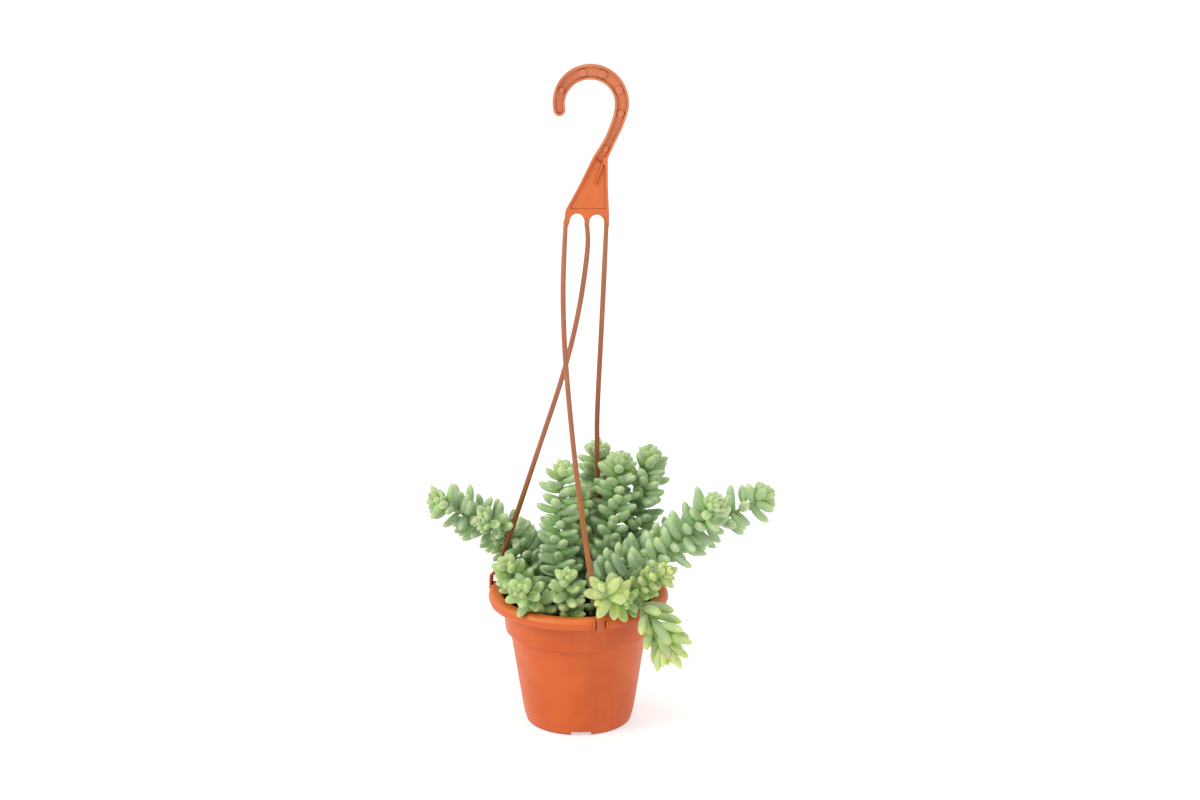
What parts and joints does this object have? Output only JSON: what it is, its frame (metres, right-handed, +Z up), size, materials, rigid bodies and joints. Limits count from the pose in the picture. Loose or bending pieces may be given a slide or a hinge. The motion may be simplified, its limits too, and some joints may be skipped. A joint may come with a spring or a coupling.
{
  "type": "potted burro's tail plant",
  "caption": "Trailing succulent with plump leafy stems in a round tapered hanging pot, held by a moulded hanger whose arms join in a flat plate and hook.",
  "frame": {"origin": "centre of the pot's base, on the surface it can be set down on", "axes": "+Z up towards the hook, +X to the viewer's right, -Y towards the viewer; the hook and the plate lie in the XZ plane"},
  "size_m": [0.301, 0.208, 0.5652],
  "materials": {
    "pot_plastic": "satin",
    "hanger_plastic": "satin",
    "soil": "matte",
    "leaf_grey_green": "matte",
    "leaf_blue_green": "matte",
    "leaf_pale_green": "matte",
    "leaf_bright_green": "matte"
  },
  "bodies": {
    "root": {"pot": "pot_plastic", "soil": "soil", "hanger": "hanger_plastic", "stem_right_long": "leaf_grey_green", "stem_right_rosette": "leaf_grey_green", "stem_left_long": "leaf_grey_green", "stem_left_short": "leaf_grey_green", "stem_up_left": "leaf_blue_green", "stem_up_middle": "leaf_blue_green", "stem_up_right": "leaf_blue_green", "stem_up_back": "leaf_blue_green", "stem_front_left": "leaf_pale_green", "stem_front_left_low": "leaf_pale_green", "stem_front_middle": "leaf_pale_green", "stem_bright_star": "leaf_bright_green", "stem_beside_star": "leaf_pale_green", "stem_right_small": "leaf_bright_green", "stem_drooping": "leaf_bright_green", "stem_middle": "leaf_blue_green", "stem_back_left": "leaf_grey_green", "stem_back_trailing": "leaf_grey_green", "stem_back_right": "leaf_grey_green", "stem_left_inner": "leaf_pale_green"}
  },
  "joints": []
}
